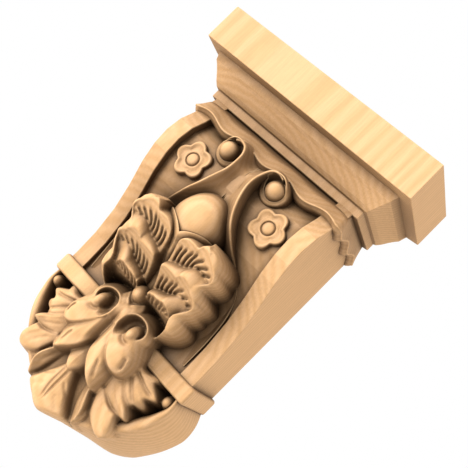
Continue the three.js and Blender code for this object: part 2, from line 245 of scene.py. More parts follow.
def carve_strap():
    """The strap round the front and both flanks, with rounded edges."""
    half, reach, tall, r = BODY_HALF + 4, 52.2, 7.0, 2.2
    middle = STRAP_TOP + tall
    turns = np.linspace(0, math.pi / 2, 6)
    top = [(r * (1 - math.sin(a)), -tall + r * (1 - math.cos(a))) for a in turns]
    levels = top + [(into, -rise) for into, rise in reversed(top)]
    solid("strap", plan_rings([(half - into, reach - into, middle + rise) for into, rise in levels], r, 5))


def carve_cup(sizes):
    """The cup below the strap: an outline on the wall, a rim in front and its hollow."""
    half, top, foot, face, rim_out, rim_width = 70, 226, 8, 48.6, 50, 12
    wall = [(half, top), (76.5, 240), (78.1, 252), (76, 261), (71.2, 272), (64.7, 282.5),
            (58, 291), (47, 298.5), (30, 303), (15, 307.5), (0, 312.5)]
    rim = [(half, top), (71.7, 240), (70, 250), (67, 260), (62, 268.5), (55, 276.5),
           (46, 284), (36, 291), (24, 297), (12, 302), (0, 305)]
    # The rim is narrow beside the strap and wide lower down
    narrow, wide, narrow_share = 236, 262, 0.45
    t = np.linspace(0, 1, 60)

    def ring(right, out, into=0.0):
        whole = np.vstack([right, (right * (-1, 1))[-2::-1]])
        shares = 1 - into / half * np.interp(whole[:, 1], (narrow, wide), (narrow_share, 1))
        return [(x * share, out, top + (drop - top) * share) for (x, drop), share in zip(whole, shares)]

    outer, inner = curve(wall, t), curve(rim, t)
    rings = [ring(outer, 0), ring(outer, foot)]
    for share in np.linspace(0.12, 1, 12):
        belly = 0.9 * math.sin(math.pi * share)
        rings.append(ring(outer + (inner - outer) * share**1.15, foot + (face - foot) * share, -belly))
    rounding = [(49.5, 0.7), (50.2, 1.8), (50.5, 3.2), (50.3, 4.8), (49.4, 6.2), (47.6, 7.4), (45, 8.4),
                (41, 9.4)]
    rings += [ring(inner, out, into) for out, into in rounding]
    rings.append(ring(inner, rim_out - sizes.cup_depth, rim_width))
    solid("cup", rings)


def carve_ribbons(sizes):
    """Two ribbons on edge, which curl under the skirt, pass the acorn and fade below."""
    rim = [
        (24, 84.5, 74.6), (19, 86, 73.4), (14.2, 86.1, 75.2), (11.2, 86.8, 80.3), (9.8, 89.1, 88),
        (10.3, 90.4, 96), (13.4, 91.5, 105.8), (17.7, 90.6, 115.7), (22.9, 87.6, 123.9),
        (30.5, 79, 132.9), (38.1, 69.5, 139.9), (46.6, 62.8, 148.3), (51.6, 58.8, 156.7),
        (54.3, 55.5, 168.3), (55, 52.6, 180), (54.9, 50, 195), (54.2, 47.6, 213),
    ]
    # The hollow beside the rim, as its width and how far out it ends
    slope = [
        (4, 76), (6, 73), (9.5, 71.5), (11, 73), (9.6, 81), (10.1, 81.5), (13.2, 81.5), (15, 77),
        (14, 73), (13, 66), (12, 59), (12, 55), (12, 52), (11, 50), (10, 48), (9, 47), (8, 45.5),
    ]
    root = 16
    t = np.linspace(0, 1, 200)
    line, side, hollow = curve(rim, t), across_of(rim, t), curve(slope, t)
    taper = 1 - 0.45 * smooth_step(0.6, 1, t)
    rings = []
    for (x, out, drop), (sx, sd), (width, floor), thin in zip(line, side, hollow, taper):
        floor = min(floor, out - 1)
        base = floor - root

        def at(offset, level):
            return (x + sx * offset, level, drop + sd * offset)

        half = sizes.ribbon_edge * thin
        back = [at(-half * 2.2, base), at(-half * 1.7, out - 7), at(-half * 1.1, out - 2.2)]
        edge = [at(-half, out - 0.7), at(-half * 0.5, out - 0.1), at(half * 0.4, out), at(half, out - 0.5)]
        shares = np.linspace(0.08, 1, 12)
        inner = [at(half + (width - half) * s, floor + (out - 0.5 - floor) * (1 - s) ** 1.9) for s in shares]
        rings.append(back + edge + inner + [at(width, base)])
    pair("ribbon", rings)


def carve_web():
    """The kite of wood left between the ribbons, from the skirt down to the acorn's tip."""
    root, bevel = 16, 0.9
    kite = [(80, 1.2, 72), (86, 2.4, 80), (92, 3.6, 82.4), (98, 5, 82.9), (105, 6.4, 82.6), (110, 5.4, 81),
            (116, 2.6, 78), (121, 0.8, 74)]
    rings = []
    for drop, half, out in kite:
        left = [(-half, out - root, drop), (-half, out - bevel, drop), (-half * 0.7, out, drop)]
        rings.append(left + [(-x, level, drop) for x, level, drop in reversed(left)])
    solid("web", rings, soft=False)


def carve_curls():
    """The eye of each curl: a bead in a hollow under the ribbon's turned end."""
    centre_x, centre_drop, count = 23.6, 83.6, 96
    turns = np.linspace(0, 2 * math.pi, count, endpoint=False)
    angle = (np.degrees(turns) + 200) % 360 - 200
    degrees = (-200, -165, -130, -90, -40, 0, 30, 55, 80, 105, 135, 160)
    rim_reach = (10.6, 8.8, 8.0, 7.7, 7.6, 7.7, 7.8, 8.4, 9.6, 10.6, 11.8, 11.6)
    rim_out = (81.0, 79.0, 79.0, 79.0, 79.2, 79.6, 81.0, 83.6, 85.4, 86, 85.8, 84.0)
    foot_reach = (12.6, 12.2, 11.2, 10.6, 10.2, 10.0, 9.8, 9.8, 10.4, 11.4, 12.4, 12.6)
    reach, top, foot = (np.interp(angle, degrees, row) for row in (rim_reach, rim_out, foot_reach))
    # The bead is an egg's end, cut off at its own radius
    bead, bead_base, bead_rise, egg_radius = 7.4, 77.2, 8.6, 8.2
    levels = [(r, bead_base + bead_rise * math.sqrt(1 - (r / egg_radius) ** 2))
              for r in (0.05, 1.4, 2.8, 4.2, 5.6, 6.8)]
    levels.append((bead, 80.2))
    open_side = smooth_step(0.5, 3.2, reach - bead)
    for share, fall in ((0.25, 8.5), (0.5, 8.5), (0.72, 6.5), (0.9, 2.4)):
        levels.append((bead + (reach - bead) * share, top - fall * open_side - 0.2 * (1 - open_side)))
    levels += [(reach, top), (reach + 0.5, top + 0.05), (reach + 1.0, top - 0.6)]
    levels += [(reach * 0.45 + (foot + 1) * 0.55, top * 0.5 + 39.2), (foot + 0.8, 77.0), (foot + 1.2, 66.0)]
    rings = []
    for r, out in levels:
        x, drop = centre_x + r * np.cos(turns), centre_drop - r * np.sin(turns)
        rings.append(np.stack([x, np.broadcast_to(out, count), drop], 1))
    pair("curl", rings)


def carve_flowers(sizes):
    """Two flowers of five round petals, each with a disc in a ring."""
    centre_x, centre_drop, petals, count = 39.7, 105.8, 5, 160
    turns = np.linspace(0, 2 * math.pi, count, endpoint=False)
    lobe = 1 + sizes.petal_depth * (2.2 * np.sqrt(np.cos(petals * turns / 2) ** 2 + 0.05) - 1.35)
    # Each ring as its radius, how far out it is and how much of the petals' outline it has
    levels = [
        (0.05, 81.0, 0), (2.0, 80.95, 0), (3.6, 80.7, 0), (4.3, 80.2, 0), (4.7, 79.5, 0), (5.0, 79.3, 0),
        (5.4, 79.8, 0), (5.9, 80.2, 0.1), (6.8, 80.1, 0.3), (8.0, 79.6, 0.6), (9.2, 79.7, 0.85),
        (10.3, 80.4, 1), (11.3, 80.95, 1), (12.1, 81.0, 1), (12.8, 80.6, 1), (13.25, 79.8, 1),
        (13.45, 78.6, 1), (13.5, 76.5, 1), (13.7, 66, 1),
    ]
    rings = []
    for radius, out, share in levels:
        reach = radius * (1 + (lobe - 1) * share)
        x, drop = centre_x + reach * np.cos(turns), centre_drop - reach * np.sin(turns)
        rings.append(np.stack([x, np.full(count, float(out)), drop], 1))
    pair("flower", rings)


def carve_acorn():
    """The acorn, an egg with its tip up, on an axis that leans with the body."""
    tip, root = ACORN_TIP, ACORN_ROOT
    profile = [(0, 0), (4.5, 0.01), (9, 0.05), (14.2, 0.14), (18.6, 0.28), (21.4, 0.43), (22.2, 0.58),
               (20.6, 0.72), (16, 0.88), (12, 1)]
    # Below one, the acorn's rings are a little squarer than a circle
    roundness = 0.84
    rows = curve(profile, np.linspace(0, 1, 60) ** 1.3)
    turns = np.linspace(0, 2 * math.pi, 96, endpoint=False)
    plan = [np.sign(way) * np.abs(way) ** roundness for way in (np.sin(turns), np.cos(turns))]
    lean = math.atan2(tip[0] - root[0], root[1] - tip[1])
    rings = []
    for radius, share in rows:
        out, drop = tip + (root - tip) * share
        side, forward = (max(radius, 0.02) * way for way in plan)
        rings.append(np.stack([side, out + forward * math.cos(lean), drop + forward * math.sin(lean)], 1))
    solid("acorn", rings)


def carve_calyx():
    """The acorn's cup: a collar whose rim rises in two arches to a cusp in front."""
    turns = np.linspace(-math.pi, math.pi, 200, endpoint=False)
    wide = np.minimum(np.abs(turns), math.pi / 2)
    arch = np.abs(np.sin(np.clip(wide * 1.9, 0, math.pi * 0.62))) ** 0.75
    # Each ring as its radius, its drop, how far its arches rise and how far it has left the
    # acorn's axis for the stem's
    levels = [
        (14, 148.5, 8.4, 0), (21, 147.6, 8.4, 0), (23.4, 147.1, 8.4, 0), (24.6, 146.7, 8.4, 0),
        (25.4, 146.8, 8.4, 0), (25.7, 147.6, 8.3, 0), (25.5, 149, 8, 0), (24.6, 151, 7, 0.1),
        (22.6, 153, 5.5, 0.25), (20, 157, 3.5, 0.5), (16.5, 161.5, 2, 0.7), (12.5, 167, 1, 0.9),
        (9, 175, 0, 1), (6.5, 185, 0, 1), (5, 197, 0, 1),
    ]
    recess, length = ACORN_ROOT - ACORN_TIP
    rings = []
    for radius, lower, scallop, settled in levels:
        drop = lower - scallop * arch + 3 * np.cos(turns)
        axis = ACORN_TIP[0] + recess * (np.minimum(drop, 160) - ACORN_TIP[1]) / length
        back = axis * (1 - settled) + np.interp(lower, (147, 197), (67, 55)) * settled
        rings.append(np.stack([radius * np.sin(turns), back + radius * np.cos(turns), drop], 1))
    solid("calyx", rings)


class Relief:
    """Carving as one height over the front: how far out it stands at each place (x, drop).

    It is drawn for the right half, and its mirror image makes the left.
    """

    ABSENT = 30.0
    # How steeply a form's wall falls away outside its outline, in mm for each mm
    WALL = 3.6

    def __init__(self, edge, step):
        drops, halves = zip(*edge)
        rows = np.arange(drops[0], drops[-1], step)
        reach = np.interp(rows, drops, halves)
        across = np.linspace(0, 1, int(reach.max() / step) + 1)
        self.x = reach[:, None] * across
        self.drop = np.repeat(rows[:, None], len(across), 1)
        self.out = np.full(self.x.shape, self.ABSENT)

    def sheet(self, points):
        """The smoothest sheet through points of (x, drop, out)."""
        points = np.asarray(points, float)

        def kernel(dx, dy):
            square = dx**2 + dy**2
            return square * np.log(square + 1e-9)

        px, pd, out = points.T
        count = len(points)
        plane = np.stack([np.ones(count), px, pd], 1)
        system = np.zeros((count + 3, count + 3))
        system[:count, :count] = kernel(px[:, None] - px, pd[:, None] - pd) + 4.0 * np.eye(count)
        system[:count, count:] = plane
        system[count:, :count] = plane.T
        weights = np.linalg.solve(system, np.concatenate([out, [0, 0, 0]]))
        height = weights[count] + weights[count + 1] * self.x + weights[count + 2] * self.drop
        for weight, ax, ad in zip(weights, px, pd):
            height = height + weight * kernel(self.x - ax, self.drop - ad)
        return height

    def away(self, line):
        """The distance to a polyline of (x, drop), and the share of the way along it."""
        line = np.asarray(line, float)
        nearest, along = np.full(self.x.shape, 1e9), np.zeros(self.x.shape)
        lengths = np.linalg.norm(np.diff(line, axis=0), axis=1)
        run = np.concatenate([[0], np.cumsum(lengths)])
        for n, (a, b) in enumerate(zip(line, line[1:])):
            (ax, ad), (sx, sd) = a, b - a
            t = np.clip(((self.x - ax) * sx + (self.drop - ad) * sd) / max(sx * sx + sd * sd, 1e-9), 0, 1)
            far = np.hypot(self.x - ax - t * sx, self.drop - ad - t * sd)
            closer = far < nearest
            nearest[closer] = far[closer]
            along[closer] = ((run[n] + t * lengths[n]) / run[-1])[closer]
        return nearest, along

    def inside(self, outline):
        """The distance inside a closed smooth outline, negative outside it."""
        outline = np.asarray(outline, float)
        count = len(outline)
        looped = np.vstack([outline[-2:], outline, outline[:3]])
        line = curve(looped, np.linspace(2, 2 + count, count * 5 + 1) / (len(looped) - 1))
        far, _ = self.away(line)
        odd = np.zeros(self.x.shape, bool)
        for (ax, ad), (bx, bd) in zip(line, line[1:]):
            if ad != bd:
                crosses = (ad > self.drop) != (bd > self.drop)
                odd ^= crosses & (self.x < ax + (self.drop - ad) / (bd - ad) * (bx - ax))
        return np.where(odd, far, -far)

    def form(self, outline, height, rim=2.0, fall=None, marks=()):
        """Adds a form with a rounded rim inside an outline. Its height is a sheet, or points for
        one, and a mark is a line cut into it (or left proud), as (points, depth, width)."""
        height = height if isinstance(height, np.ndarray) else self.sheet(height)
        within = self.inside(outline)
        near = np.clip(1 - within / rim, 0, 1)
        height = height - (rim if fall is None else fall) * (1 - np.sqrt(np.maximum(1 - near**2, 0)))
        for line, depth, width in marks:
            height = height - self.mark(line, depth, width)
        self.add(np.where(within > -9, height + self.WALL * np.minimum(within, 0), self.ABSENT))

    def mark(self, line, depth, width):
        """A soft line that fades at both ends."""
        line = np.asarray(line, float)
        smooth = curve(line, np.linspace(0, 1, 4 * len(line))) if len(line) > 2 else line
        far, along = self.away(smooth)
        fade = np.minimum(1, 5 * np.minimum(along + 0.05, 1.05 - along))
        return depth * np.exp(-((far / width) ** 2)) * fade

    def dome(self, x, drop, wide, tall, top, base, lean=0.0):
        """Adds half an egg, which leans by a height for each mm further down."""
        share = np.sqrt(((self.x - x) / wide) ** 2 + ((self.drop - drop) / tall) ** 2)
        egg = base + (top - base) * np.sqrt(np.maximum(1 - share**2, 0)) + lean * (self.drop - drop)
        self.add(np.where(share < 2.2, egg - self.WALL * wide * np.maximum(share - 1, 0), self.ABSENT), 0.2)

    def add(self, height, melt=0.5):
        """Joins a height to the carving, with a small soft fillet where they meet."""
        gap = np.abs(self.out - height)
        self.out = np.maximum(self.out, height) + np.maximum(melt * 2 - gap, 0) ** 2 / (8 * melt)

    def soften(self, passes):
        """Rounds the sharpest edges, as sanding does."""
        for _ in range(passes):
            padded = np.pad(self.out, 1, mode="edge")
            padded[1:-1, 0] = self.out[:, 1]
            self.out = (padded[:-2, 1:-1] + padded[2:, 1:-1] + 4 * padded[1:-1, 1:-1]
                        + padded[1:-1, :-2] + padded[1:-1, 2:]) / 8

    def rings(self, base):
        """The carving and its mirror image as rings for a solid."""
        right = np.stack([self.x, self.out, self.drop], -1)
        whole = np.concatenate([right[:, :0:-1] * (-1, 1, 1), right], 1)
        back = whole[:, [-1, 0]] * (1, 0, 1) + (0, base, 0)
        return np.concatenate([whole, back], 1)


# The relief's outline on the right, as (drop, half width)
RELIEF_EDGE = (
    (137, 50), (214, 54), (222, 50), (230, 56), (234, 68.4), (250, 67), (262, 63.5), (270, 60), (278, 57),
    (284, 53), (289, 48), (293, 42), (298, 31), (302, 21), (305, 13.5), (308.8, 3),
)

# The side leaves, as lines of (x, drop): each tier's crest, the line where its flutes end, and
# the flutes of the top tier
CRESTS = (
    [(3.2, 163), (3.6, 157.5), (4.8, 153.4), (8, 150.3), (12, 148.9), (17, 148.8), (20.6, 148.9),
     (22.4, 146.6), (25, 144.8), (28, 144), (31, 145), (34, 148), (36.6, 151.4), (39.2, 153), (41.2, 155.6),
     (42.2, 158.6)],
    [(3.4, 176), (4, 174.8), (5, 174), (8, 173.1), (12, 172.9), (17, 172.9), (19.8, 173.1), (21, 171.2),
     (24, 169.8), (27, 169.4), (30, 170.2), (33, 172.4), (35.6, 175.2), (38.4, 176.3), (40.6, 178.4),
     (41.6, 180.6)],
    [(7.5, 195.4), (8.2, 194.3), (10, 193.5), (13, 193), (16, 192.8), (19, 192.4), (22, 191.6), (25, 192.6),
     (27, 194), (29, 195.6), (31, 197.6), (33, 200), (34, 201.2)],
)
ROOTS = (
    [(3.2, 170.4), (5, 168.4), (8.4, 166.9), (12, 165.7), (16, 164.9), (20, 163.3), (23, 161.2),
     (27, 159.1), (31, 159.1), (36, 160.3), (40, 161.4), (43, 161.4)],
    [(3.2, 191.5), (5, 189.6), (8.1, 188), (12.1, 186.6), (16, 185.7), (18.9, 184.6), (23.3, 182.1),
     (28.1, 180.4), (33, 180.9), (38, 182.6), (42, 184)],
    [(7.5, 198.6), (12, 198.3), (16, 198.3), (20, 198.6), (24, 199), (27.5, 200.2), (31, 202), (34, 203.6)],
)
FLUTES = (
    [(8.9, 155.2), (7.9, 159), (7.7, 163), (8.3, 166.8)],
    [(13.2, 154), (11.7, 158), (11.2, 162), (11.8, 165.7)],
    [(18.6, 152.8), (16.6, 156.6), (15.6, 160.6), (15.7, 164.9)],
    [(22.4, 151.4), (20.6, 155), (19.4, 159.4), (19.2, 163.5)],
    [(29, 151.8), (25.6, 154.6), (23, 158), (22.2, 161.6)],
    [(34.6, 154), (31, 155.9), (28, 158.2), (26, 159.6)],
    [(38.8, 156.8), (36, 157.9), (33.4, 159), (31, 159.4)],
)
# Each tier as its crest's reach and drop, how far its face leans back in degrees, how much lower
# its flutes are than the top tier's, and their length as a share of those
TIERS = ((95.8, 148.4, 35, 0.0, 1.0), (86.0, 172.5, 46, 24.4, 0.9), (74.5, 193.5, 58, 45.0, 0.46))
# Where each leaf turns back to its outer end, as (x, drop, out), and where that end's wall is
SHOULDER = (
    (22, 136, 84), (26, 141, 92), (28.5, 144, 96.2), (34, 148, 95), (36.8, 151.4, 93.4), (39.2, 153, 92.2),
    (41.2, 155.6, 90.6), (42, 158.6, 88.6), (40, 161.4, 87), (37, 165, 86.6), (34, 169, 86.8),
    (33.4, 172.4, 85.6), (35.6, 175.2, 83), (38.4, 176.3, 81.8), (40.6, 178.4, 79.8), (41, 180.6, 77.6),
    (39, 184, 77), (36, 188, 76.6), (33.4, 192, 75.8), (32.6, 196, 74.2), (33.6, 200, 72.4),
    (34.4, 203.4, 71), (32.6, 208, 66), (29, 213, 60),
)
OUTER_WALL = [
    (34, 137.6), (40, 139.5), (44.5, 142.5), (47.2, 147), (47.4, 151.6), (48.8, 155), (48.6, 159),
    (46.4, 163), (43.8, 166), (46.4, 169), (48.6, 172.5), (49, 177), (47.4, 181), (47.8, 184.5),
    (46, 188.4), (44.8, 190.4), (47.4, 193.6), (48.4, 198), (47, 203), (45, 207), (42, 210.4), (38, 212.6),
    (33, 213.8), (28, 214.4),
]


def draw_side_leaves(relief, flute_depth):
    """Three tiers of fluted leaves, each out from under the last, with swelling outer ends."""
    x, drop = relief.x, relief.drop
    flute_width, flutes_top = 0.72, 144

    def level(line):
        line = curve(line, np.linspace(0, 1, 120))
        return np.interp(x, line[:, 0], line[:, 1])

    def plane(n, at):
        out, start, lean = TIERS[n][:3]
        return out - (at - start) * math.tan(math.radians(lean))

    for n, (_, _, _, low, tall) in enumerate(TIERS):
        crest, roots = level(CRESTS[n]), level(ROOTS[n])
        share = np.clip((drop - crest) / np.maximum(roots - crest, 0.5), 0, 1)
        face = plane(n, drop) - 1.2 * np.sin(math.pi * share) ** 0.7
        for line in FLUTES:
            moved = [(px, flutes_top + (pd - flutes_top) * tall + low) for px, pd in line]
            face = face - relief.mark(moved, flute_depth, flute_width)
        face = face - 1.6 * bump(drop, roots, 1.1) * smooth_step(5, 12, x)
        if n == 0:
            rolled = plane(0, crest) - 1.2 * np.maximum(crest - drop, 0) ** 1.3
        else:
            start = level(ROOTS[n - 1])
            share = np.clip((drop - start) / np.maximum(crest - start, 0.5), 0, 1)
            low_out, high_out = plane(n - 1, start) - 1.6, plane(n, crest)
            rolled = low_out + (high_out - low_out) * share + 1.8 * np.sin(math.pi * share) ** 0.7
            rolled = np.where(drop > start - 0.3, rolled, relief.ABSENT)
        leaf_height = np.where(drop < crest, rolled, face) - 1.6 * np.maximum(4.6 - x, 0) ** 2
        back = relief.WALL if n < 2 else np.interp(x, (15, 29), (relief.WALL, 1.3))
        leaf_height = leaf_height - back * np.maximum(drop - roots - 0.3, 0)
        shown = (drop < roots + 14) & (x > CRESTS[n][0][0] - 2)
        relief.add(np.where(shown, leaf_height, relief.ABSENT), 0.2)
    shoulder = np.array(SHOULDER, float)
    edge, top = (np.interp(drop, shoulder[:, 1], shoulder[:, n]) for n in (0, 2))
    wall = curve(OUTER_WALL, np.linspace(0, 1, 200))
    reach = np.interp(drop, wall[:, 1], wall[:, 0]) - 1.4
    past = (x - edge) / np.maximum(reach - edge, 1)
    # The end falls away at once from the crest, with a slight belly
    share = np.clip(past, 0, 1)
    swell = top + 0.4 - 22 * share + 6.5 * np.sin(math.pi * share)
    swell = swell - relief.WALL * 26 * np.maximum(past - 1, 0)
    band = (drop > wall[0, 1]) & (drop < wall[-1, 1])
    swell = np.where((past < 1.8) & (past > -0.06) & band, swell, relief.ABSENT)
    relief.out = np.where(past > 0, relief.ABSENT, relief.out)
    relief.add(swell, 0.3)


def draw_acanthus(relief):
    """The acanthus in front: a middle lobe and, on each side, two lobes from the volute."""
    # The middle lobe
    relief.form(
        [(-4, 241), (0, 240), (4, 243), (7, 250), (9.2, 256), (9.5, 261.5), (7.8, 265.2), (5, 269),
         (2.6, 271.5), (0, 272.3), (-3, 271), (-8, 264), (-9, 255)],
        [(0, 244, 62), (0, 256, 64.6), (0, 264, 66.6), (0, 271, 65.6), (8, 252, 61), (8, 262, 63),
         (-8, 252, 61), (-8, 262, 63)],
        rim=3.2, fall=4,
        marks=[([(0, 254), (0, 262), (0, 270)], -0.5, 1.3)])
    band = 7.4 * np.maximum(1 - relief.x / 6, 0) ** 1.2 * smooth_step(206, 230, relief.drop)
    band = band * (1 - smooth_step(242, 254, relief.drop))
    long_lobe = relief.sheet([
        (2, 210, 66.5), (4.6, 216, 69.4), (4.8, 226, 70.4), (5, 236, 70.6), (8, 244, 70.8), (11, 251, 70.6),
        (6, 251, 69.6), (14.5, 258, 69.8), (11, 259, 69), (18, 264, 67.6), (21, 268, 64.6), (18.5, 252, 69.4),
        (23, 257, 63.5), (26.6, 252, 58.5), (26.8, 262, 56.8), (26.6, 269, 56), (16, 240, 69), (14, 226, 66)])
    # The long lobe beside it
    relief.form(
        [(-3, 212), (-3, 232), (-1, 243), (1.4, 248), (3.2, 252), (5.6, 256.2), (9.2, 260.6), (13, 264),
         (17, 267.2), (20.6, 269.6), (24.4, 270.5), (27, 268.8), (27.3, 262), (27.2, 254), (27, 246),
         (22, 238), (14, 231), (8, 224), (6.6, 214), (4, 209)],
        long_lobe - band,
        rim=2.4, fall=3.6,
        marks=[([(14.6, 249.5), (16.4, 254), (17.4, 258), (19.4, 263)], 1.8, 1.0),
               ([(9.5, 238), (12, 246), (15, 253)], -0.35, 1.6)])
    # The outer lobe, which hangs from the volute
    relief.form(
        [(5, 226), (6.4, 231), (9, 235.6), (12.4, 240), (16.4, 244.6), (21.2, 248.3), (26.4, 250),
         (31, 249.8), (34.6, 247.6), (37, 243.6), (37.5, 238), (36.6, 231), (34.6, 224), (31.6, 217),
         (29, 211.5), (22, 213), (12, 220)],
        [(8, 230, 70.5), (12, 235, 71.6), (17, 240, 72.8), (22, 246, 71.6), (27, 240, 72), (22, 234, 72),
         (20, 229, 70.6), (30.6, 238, 69.6), (31.2, 244, 68.6), (30, 231, 66), (27, 222, 63.5),
         (27, 215, 61), (34, 240, 63.6), (37, 244, 57), (37, 234, 55.5), (33, 222, 53), (31, 214, 52)],
        rim=2.2, fall=3,
        marks=[([(28.6, 235.6), (30, 240), (30.4, 245)], 2.4, 0.9),
               ([(31, 234.6), (32.4, 240), (32.4, 245), (30.6, 248)], -1.3, 0.9)])


def draw_volutes(relief, hollow_depth):
    """The two volutes: a spiral rim round a hollow, with a ball that swells from its floor."""
    eye_x, eye_drop = 17.5, 221.0
    turns = (-110, -85, -63, -30, -2, 20, 46, 71, 92, 111, 130, 149, 173, 201, 222, 250)
    rim_reach = (6.9, 6.0, 5.6, 6.1, 7.7, 8.8, 9.8, 10.6, 11.3, 12.2, 13.2, 13.5, 12.9, 13.4, 14.2, 13.5)
    rim_out = (70.4, 70, 69.2, 67.4, 65.8, 65, 64.6, 64.4, 64.6, 65, 66, 67.4, 69, 70.2, 70.6, 70.6)
    dx, dy = relief.x - eye_x, eye_drop - relief.drop
    angle = (np.degrees(np.arctan2(dy, dx)) + 110) % 360 - 110
    far = np.hypot(dx, dy)
    reach, top = np.interp(angle, turns, rim_reach), np.interp(angle, turns, rim_out)
    past = far - reach
    live = smooth_step(-75, -25, angle) * (1 - smooth_step(192, 246, angle))
    depth = hollow_depth * live * smooth_step(0.3, 4.4, -past)
    rim = top + 0.8 * bump(past, 0, 1.2) - depth
    steep = smooth_step(0, 50, angle) * (1 - smooth_step(120, 175, angle))
    outer = top + 0.8 * bump(past, 0, 1.0) - (0.35 + 0.5 * steep) * past
    outer = outer - 0.3 * np.maximum(past - 0.8, 0) ** 1.6
    outer = outer - relief.WALL * np.maximum(past - 5, 0)
    outer = outer - 0.8 * np.maximum(np.maximum(-14 - angle, angle - 199), 0)
    relief.add(np.where((past > 0) & (past < 12) & (angle > -45) & (angle < 230), outer, relief.ABSENT))
    blend = smooth_step(0.0, 0.25, live)
    relief.out = np.where(past <= 0, relief.out * (1 - blend) + rim * blend, relief.out)
    relief.dome(18.0, 221.8, wide=5.4, tall=7.4, top=71.4, base=61.5, lean=0.34)
    beside = [(13.6, 217), (12.9, 221), (13.2, 225), (15.2, 228.6), (19, 230), (23, 229)]
    relief.out -= relief.mark(beside, depth=2.2, width=1.7)


def draw_brow(relief):
    """The brow between the volutes, the pearl and its collar."""
    relief.form(
        [(-8, 199), (0, 197), (6, 199.4), (8.4, 202), (10, 204.6), (10.8, 208), (9, 211), (7, 217),
         (4, 228), (0, 236), (-6, 216)],
        [(0, 203, 60.5), (5, 201, 61), (0, 212, 64.8), (5, 208, 65.6), (9.4, 203, 62), (5, 214, 67.4),
         (9, 209, 65), (0, 220, 64.4), (0, 232, 61.5), (4, 224, 66.2)],
        rim=1.4, fall=1.6,
        marks=[([(0, 210.6), (3.8, 207.4), (6.6, 204.4), (9.6, 201.6)], -1.5, 0.75)])
    x, drop = relief.x, relief.drop
    relief.dome(0, 199.2, wide=6.5, tall=7.2, top=71.6, base=62, lean=0.1)
    # The stem, from the acorn's cup down to the pearl
    stem = np.interp(drop, (146, 152, 165, 178, 190, 202), (90.4, 89, 80.5, 67.5, 59, 55))
    relief.add(np.where((x < 3.6) & (drop > 150) & (drop < 204), stem - 0.28 * x**2, relief.ABSENT))


